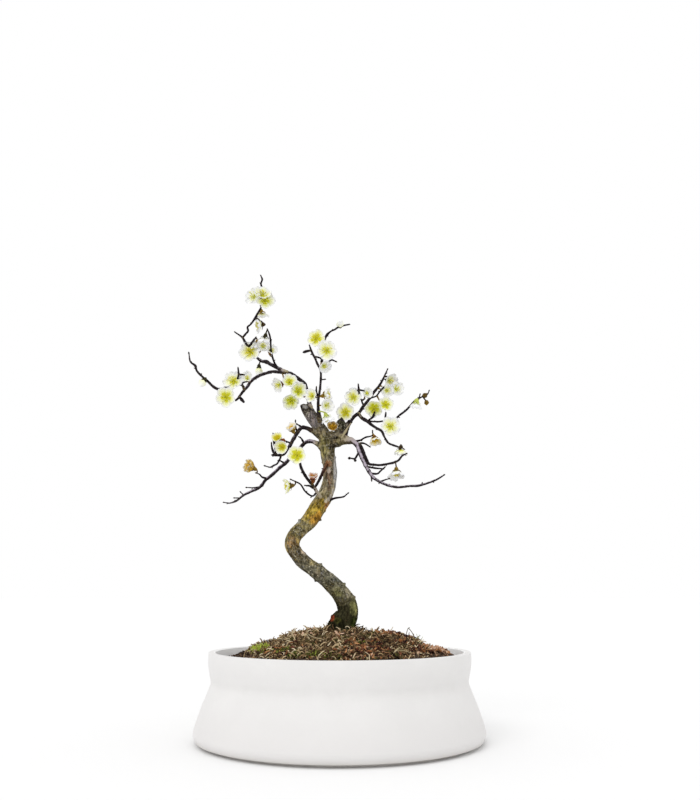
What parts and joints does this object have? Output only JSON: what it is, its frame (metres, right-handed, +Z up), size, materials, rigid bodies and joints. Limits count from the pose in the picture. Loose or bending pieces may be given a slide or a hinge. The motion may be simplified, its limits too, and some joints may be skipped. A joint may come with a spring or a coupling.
{
  "type": "potted flowering bonsai tree",
  "caption": "Small flowering tree with a bent trunk, bare twigs and white blossoms, growing from a mossy mound of soil in a round flared pot.",
  "frame": {"origin": "middle of the pot's foot ring, on the surface the pot stands on", "axes": "+Z up along the tree, -Y towards the tree's front, +X to the front view's right"},
  "size_m": [0.29, 0.29, 0.4916],
  "materials": {
    "pot_ceramic": "matte",
    "mesh_plastic": "matte",
    "soil": "matte",
    "moss": "matte",
    "bark": "matte",
    "petals": "matte",
    "stamens": "matte",
    "calyx": "matte"
  },
  "bodies": {
    "root": {"bloom_01": "petals", "bloom_04": "petals", "bloom_05": "petals", "bloom_06": "petals", "bloom_07": "petals", "bloom_09": "petals", "bloom_10": "petals", "bloom_11": "petals", "bloom_12": "petals", "bloom_13": "petals", "bloom_14": "petals", "bloom_15": "petals", "bloom_17": "petals", "bloom_18": "petals", "bloom_19": "petals", "bloom_20": "petals", "bloom_21": "petals", "bloom_22": "petals", "bloom_23": "petals", "bloom_24": "petals", "bloom_25": "petals", "bloom_26": "petals", "bloom_27": "petals", "bloom_28": "petals", "bloom_29": "petals", "bloom_30": "petals", "bloom_31": "petals", "bloom_33": "petals", "bloom_34": "petals", "bloom_35": "petals", "bloom_36": "petals", "bloom_37": "petals", "bloom_38": "petals", "bloom_39": "petals", "bloom_40": "petals", "bloom_41": "petals", "bloom_42": "petals", "bloom_43": "petals", "bloom_44": "petals", "bloom_45": "petals", "bud_1": "petals", "bud_2": "petals", "bud_3": "petals", "drainage_mesh": "mesh_plastic", "moss_cover": "moss", "pot": "pot_ceramic", "soil": "soil", "tree_wood": "bark"}
  },
  "joints": []
}
